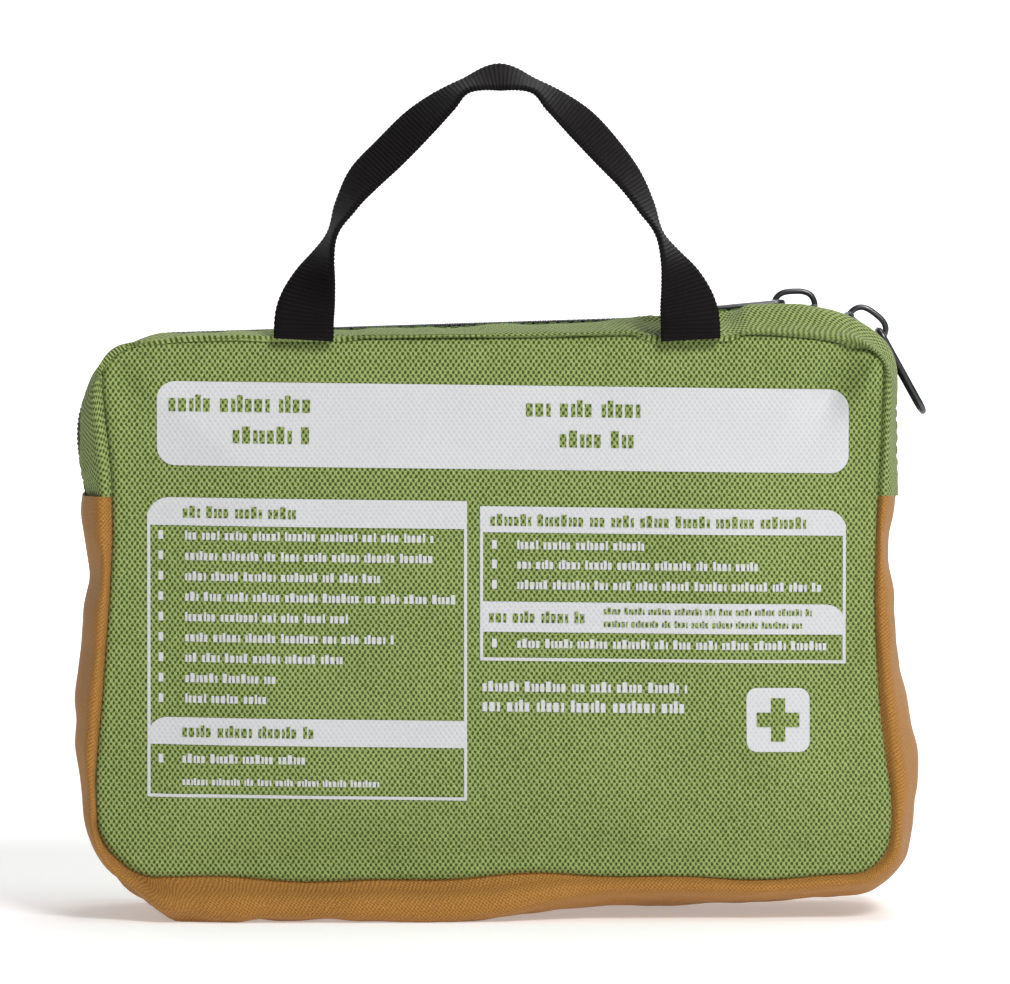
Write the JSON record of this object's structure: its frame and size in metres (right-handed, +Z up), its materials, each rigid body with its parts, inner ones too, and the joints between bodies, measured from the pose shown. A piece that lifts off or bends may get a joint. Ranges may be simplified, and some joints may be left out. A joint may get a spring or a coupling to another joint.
{
  "type": "first aid kit",
  "caption": "Zipped pack-cloth first aid bag with a webbing handle, a back that folds open, two zip sliders with wire pulls, and its supplies inside.",
  "frame": {"origin": "middle of the base that the kit stands on", "axes": "+Z up, +X to the right seen from the front, +Y to the back; the printed front panel faces -Y"},
  "size_m": [0.2156, 0.0702, 0.2152],
  "materials": {
    "green_cloth": "matte",
    "tan_cloth": "matte",
    "webbing": "matte",
    "zip_plastic": "satin",
    "slider_metal": "satin",
    "pocket_mesh": "matte",
    "dressing_wrap": "matte",
    "packet_paper": "matte",
    "packet_foil": "satin",
    "ointment_foil": "satin",
    "gauze": "matte",
    "elastic_bandage": "matte",
    "clear_plastic": "gloss",
    "brown_bottle": "gloss",
    "white_plastic": "satin",
    "black_rubber": "matte",
    "forceps_steel": "satin",
    "booklet_paper": "satin"
  },
  "bodies": {
    "bag": {"alcohol_swab_1": "packet_foil", "alcohol_swab_2": "packet_foil", "antihistamine_packet_1": "packet_paper", "antihistamine_packet_2": "packet_paper", "antiseptic_wipe_1": "packet_foil", "antiseptic_wipe_2": "packet_foil", "antiseptic_wipe_3": "packet_foil", "antiseptic_wipe_4": "packet_foil", "antiseptic_wipe_5": "packet_foil", "antiseptic_wipe_6": "packet_foil", "back_panel": "green_cloth", "back_panel_fold": "green_cloth", "conforming_gauze_roll": "gauze", "elastic_bandage_roll": "elastic_bandage", "first_aid_booklet": "booklet_paper", "forceps_arm_left": "forceps_steel", "front_panel": "green_cloth", "gauze_dressing_1": "dressing_wrap", "gauze_dressing_2": "dressing_wrap", "inner_pocket": "pocket_mesh", "lower_gusset": "tan_cloth", "nonadherent_dressing_1": "dressing_wrap", "nonadherent_dressing_2": "dressing_wrap", "ointment_packet_1": "ointment_foil", "ointment_packet_2": "ointment_foil", "ointment_packet_3": "ointment_foil", "peroxide_bottle": "brown_bottle", "pocket_elastic": "webbing", "saline_bottle": "clear_plastic", "saline_cap": "white_plastic", "syringe_barrel": "clear_plastic", "syringe_tip_cap": "white_plastic", "triangular_bandage": "gauze", "zip_gusset_back_left_end": "green_cloth", "zip_gusset_back_right_end": "green_cloth", "zip_gusset_front": "green_cloth", "zipper_back_left_end": "zip_plastic", "zipper_back_right_end": "zip_plastic", "zipper_coil_front": "zip_plastic", "zipper_tape_front": "zip_plastic"},
    "flap": {"back_panel_top": "green_cloth", "zip_gusset_back": "green_cloth", "zipper_tape_back": "zip_plastic", "zipper_coil_back": "zip_plastic"},
    "slider_left": {"slider_left": "slider_metal"},
    "pull_left": {"pull_left": "slider_metal"},
    "slider_right": {"slider_right": "slider_metal"},
    "pull_right": {"pull_right": "slider_metal"},
    "handle": {"handle": "webbing"},
    "plunger": {"syringe_plunger": "white_plastic", "plunger_seal": "black_rubber"},
    "peroxide_cap": {"peroxide_cap": "white_plastic"},
    "forceps_arm": {"forceps_arm_right": "forceps_steel"}
  },
  "joints": [
    {"name": "flap_fold", "type": "hinge", "parent": "bag", "child": "flap", "pos_m": [-0.00454, 0.00216, 0.107], "axis": [-1, 0, 0], "range_deg": [0, 60], "deforming": ["back_panel_fold", "zip_gusset_back_left_end", "zip_gusset_back_right_end", "zipper_back_left_end", "zipper_back_right_end"]},
    {"name": "slider_left_travel", "type": "slide", "parent": "bag", "child": "slider_left", "axis": [0.9995, 0, 0.0315], "range_m": [-0.15, 0]},
    {"name": "pull_left_swing", "type": "hinge", "parent": "slider_left", "child": "pull_left", "pos_m": [0.06964, 0.00216, 0.15569], "axis": [0, -1, 0], "range_deg": [-170, 0]},
    {"name": "slider_right_travel", "type": "hinge", "parent": "bag", "child": "slider_right", "pos_m": [0.07646, 0.00216, 0.13079], "axis": [0, 1, 0], "range_deg": [-8, 27]},
    {"name": "pull_right_swing", "type": "hinge", "parent": "slider_right", "child": "pull_right", "pos_m": [0.09444, 0.00216, 0.1486], "axis": [0, -1, 0], "range_deg": [0, 175]},
    {"name": "handle_swing", "type": "hinge", "parent": "bag", "child": "handle", "pos_m": [-0.00454, -0.02764, 0.1476], "axis": [1, 0, 0], "range_deg": [-50, 150]},
    {"name": "plunger_travel", "type": "slide", "parent": "bag", "child": "plunger", "axis": [1, 0, 0], "range_m": [0, 0.06]},
    {"name": "peroxide_cap_turn", "type": "hinge", "parent": "bag", "child": "peroxide_cap", "pos_m": [0.05746, 0.01146, 0.0023], "axis": [0, 0, 1], "range_deg": [0, 360]},
    {"name": "forceps_squeeze", "type": "hinge", "parent": "bag", "child": "forceps_arm", "pos_m": [0.08196, 0.01146, 0.094], "axis": [0, 1, 0], "range_deg": [0, 3], "stiffness_Nm_per_rad": 0.5}
  ]
}
